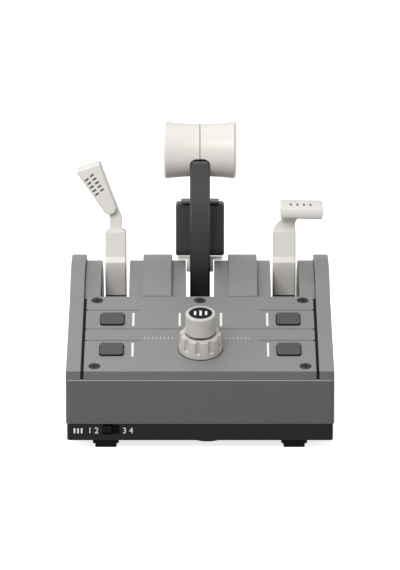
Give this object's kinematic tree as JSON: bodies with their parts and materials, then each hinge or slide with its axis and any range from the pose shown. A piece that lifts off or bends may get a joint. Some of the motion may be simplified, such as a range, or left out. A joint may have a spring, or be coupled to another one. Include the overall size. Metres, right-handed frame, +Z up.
{
  "type": "throttle quadrant",
  "caption": "Desk throttle quadrant: grey case with a sloped control panel, a speed brake lever, a throttle lever with reverser and a flap lever over an arched, slotted cover.",
  "frame": {"origin": "under the middle of the body, on the plane the rubber feet stand on", "axes": "+X to the pilot's right, +Y away from the pilot, +Z up"},
  "size_m": [0.18, 0.211, 0.1997],
  "materials": {
    "case_grey": "fine-textured moulding",
    "strip_grey": "fine-textured moulding",
    "black_plastic": "matte moulding",
    "arm_black": "satin",
    "ivory": "satin moulding",
    "button_grey": "satin moulding",
    "rubber": "matte",
    "steel": "zinc plated",
    "screw_black": "blackened",
    "board": "solder mask",
    "felt": "felt",
    "magnet": "nickel plated",
    "white_part": "moulded"
  },
  "bodies": {
    "case": {"accessory_socket_left": "black_plastic", "accessory_socket_right": "black_plastic", "axle_circlips": "steel", "axle_spacers": "white_part", "ballast_plate": "steel", "base_screws": "steel", "base_tray": "black_plastic", "drum_cover": "case_grey", "encoder_body": "black_plastic", "engine_switch_body": "black_plastic", "flap_detent_plate": "white_part", "frame_screws": "steel", "friction_washers": "felt", "front_panel": "case_grey", "lever_frame": "steel", "lower_case": "case_grey", "main_board": "board", "panel_board": "board", "panel_screws": "screw_black", "pivot_axle": "steel", "port_board": "board", "raised_strip_left": "strip_grey", "raised_strip_right": "strip_grey", "rubber_feet": "rubber", "sensor_boards": "board", "side_cover_left": "case_grey", "side_cover_right": "case_grey", "slot_liner_centre": "black_plastic", "slot_liner_left": "black_plastic", "slot_liner_right": "black_plastic", "tact_switches": "black_plastic", "usb_socket": "steel"},
    "speedbrake": {"speedbrake_stem": "ivory", "speedbrake_paddle": "ivory", "speedbrake_magnet": "magnet"},
    "throttle": {"throttle_arm": "arm_black", "throttle_magnet": "magnet", "grip_left": "ivory", "grip_right": "ivory", "grip_core": "black_plastic", "reverser_bracket": "ivory"},
    "reverser": {"reverser_web": "arm_black", "reverser_pin": "steel", "reverser_grip": "black_plastic"},
    "flap": {"flap_stem": "ivory", "flap_handle": "ivory", "flap_magnet": "magnet", "flap_detent_pin": "steel"},
    "end_button_left": {"grip_button_left": "black_plastic"},
    "end_button_right": {"grip_button_right": "black_plastic"},
    "upper_left_button": {"button_upper_left": "button_grey"},
    "upper_right_button": {"button_upper_right": "button_grey"},
    "lower_left_button": {"button_lower_left": "button_grey"},
    "lower_right_button": {"button_lower_right": "button_grey"},
    "selector": {"selector_ring": "ivory"},
    "knob": {"encoder_knob": "ivory"},
    "select_button": {"select_cap": "black_plastic"},
    "engine_switch": {"engine_slider": "black_plastic"}
  },
  "joints": [
    {"name": "speedbrake_pivot", "type": "hinge", "parent": "case", "child": "speedbrake", "pos_m": [0, 0.0448, 0.02303], "axis": [1, 0, 0], "range_deg": [-40, 25]},
    {"name": "throttle_pivot", "type": "hinge", "parent": "case", "child": "throttle", "pos_m": [0, 0.0448, 0.02303], "axis": [1, 0, 0], "range_deg": [-40, 25]},
    {"name": "flap_pivot", "type": "hinge", "parent": "case", "child": "flap", "pos_m": [0, 0.0448, 0.02303], "axis": [1, 0, 0], "range_deg": [-40, 25]},
    {"name": "reverser_pivot", "type": "hinge", "parent": "throttle", "child": "reverser", "pos_m": [0, 0.028, 0.134], "axis": [1, 0, 0], "range_deg": [0, 34], "stiffness_Nm_per_rad": 0.02, "springref_deg": -20.05},
    {"name": "upper_left_press", "type": "slide", "parent": "case", "child": "upper_left_button", "axis": [0, 0.3256, -0.9455], "range_m": [0, 0.0008], "stiffness_N_per_m": 900, "springref_m": -0.0012},
    {"name": "upper_right_press", "type": "slide", "parent": "case", "child": "upper_right_button", "axis": [0, 0.3256, -0.9455], "range_m": [0, 0.0008], "stiffness_N_per_m": 900, "springref_m": -0.0012},
    {"name": "lower_left_press", "type": "slide", "parent": "case", "child": "lower_left_button", "axis": [0, 0.3256, -0.9455], "range_m": [0, 0.0008], "stiffness_N_per_m": 900, "springref_m": -0.0012},
    {"name": "lower_right_press", "type": "slide", "parent": "case", "child": "lower_right_button", "axis": [0, 0.3256, -0.9455], "range_m": [0, 0.0008], "stiffness_N_per_m": 900, "springref_m": -0.0012},
    {"name": "selector_turn", "type": "hinge", "parent": "case", "child": "selector", "pos_m": [0.0004, -0.07378, 0.06144], "axis": [0, -0.3256, 0.9455], "range_deg": [-30, 30]},
    {"name": "knob_turn", "type": "hinge", "parent": "case", "child": "knob", "pos_m": [0.0004, -0.07378, 0.06144], "axis": [0, -0.3256, 0.9455], "continuous": true},
    {"name": "select_press", "type": "slide", "parent": "knob", "child": "select_button", "axis": [0, 0.3256, -0.9455], "range_m": [0, 0.0006], "stiffness_N_per_m": 900, "springref_m": -0.0012},
    {"name": "end_press_left", "type": "slide", "parent": "throttle", "child": "end_button_left", "axis": [1, 0, 0], "range_m": [0, 0.0007], "stiffness_N_per_m": 900, "springref_m": -0.0012},
    {"name": "end_press_right", "type": "slide", "parent": "throttle", "child": "end_button_right", "axis": [-1, 0, 0], "range_m": [0, 0.0007], "stiffness_N_per_m": 900, "springref_m": -0.0012},
    {"name": "engine_select", "type": "slide", "parent": "case", "child": "engine_switch", "axis": [1, 0, 0], "range_m": [0, 0.0052]}
  ]
}
